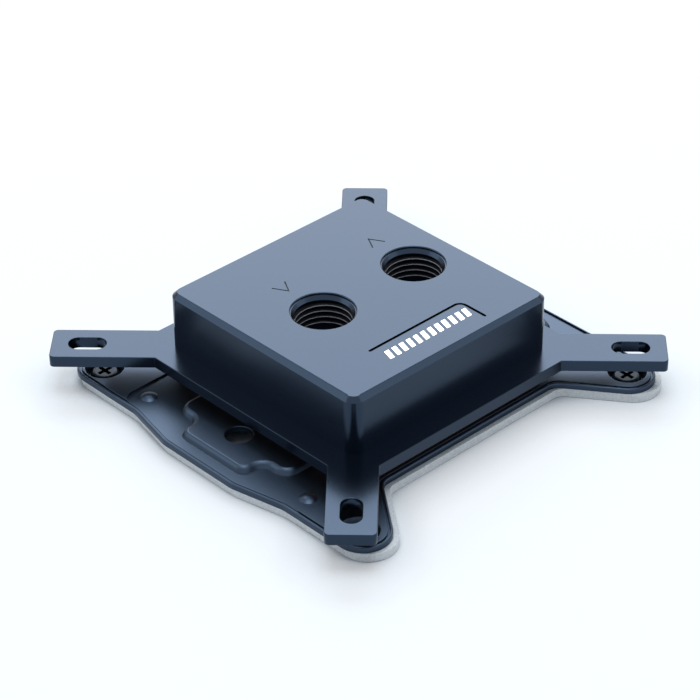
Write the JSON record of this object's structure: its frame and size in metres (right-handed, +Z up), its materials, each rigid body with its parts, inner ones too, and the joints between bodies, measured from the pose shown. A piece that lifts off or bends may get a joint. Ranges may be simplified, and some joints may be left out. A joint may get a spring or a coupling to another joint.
{
  "type": "processor water block",
  "caption": "Liquid cooling block for a processor: square metal cover with threaded ports over a finned copper base, slotted mounting bracket, pressed steel backplate and insulating pad.",
  "frame": {"origin": "middle of the bottom of the bounding box: under the middle of the block, on the surface that the pad lies on", "axes": "+Z up, out of the ports; +X from the inlet port to the outlet port; +Y from the milled line to the flow marks"},
  "size_m": [0.094, 0.094, 0.022],
  "materials": {
    "anodised_block": "satin black anodised",
    "anodised_bracket": "satin black anodised",
    "copper": "machined copper",
    "stainless": "plain stainless steel",
    "seal_rubber": "matt",
    "backplate_steel": "semi-gloss black",
    "milky_sheet": "milky translucent",
    "dark_screw": "dark nickel plate"
  },
  "bodies": {
    "root": {"top_cover": "anodised_block", "mounting_bracket": "anodised_bracket", "cold_plate": "copper", "jet_plate": "stainless", "inlet_gasket": "seal_rubber", "chamber_seal": "seal_rubber", "backplate": "backplate_steel", "insulating_pad": "milky_sheet", "base_screw_1": "stainless", "base_screw_2": "stainless", "base_screw_3": "stainless", "base_screw_4": "stainless", "base_screw_5": "stainless", "base_screw_6": "stainless", "base_screw_7": "stainless", "base_screw_8": "stainless", "backplate_screw_1": "dark_screw", "backplate_screw_2": "dark_screw", "backplate_screw_3": "dark_screw", "backplate_screw_4": "dark_screw"}
  },
  "joints": []
}
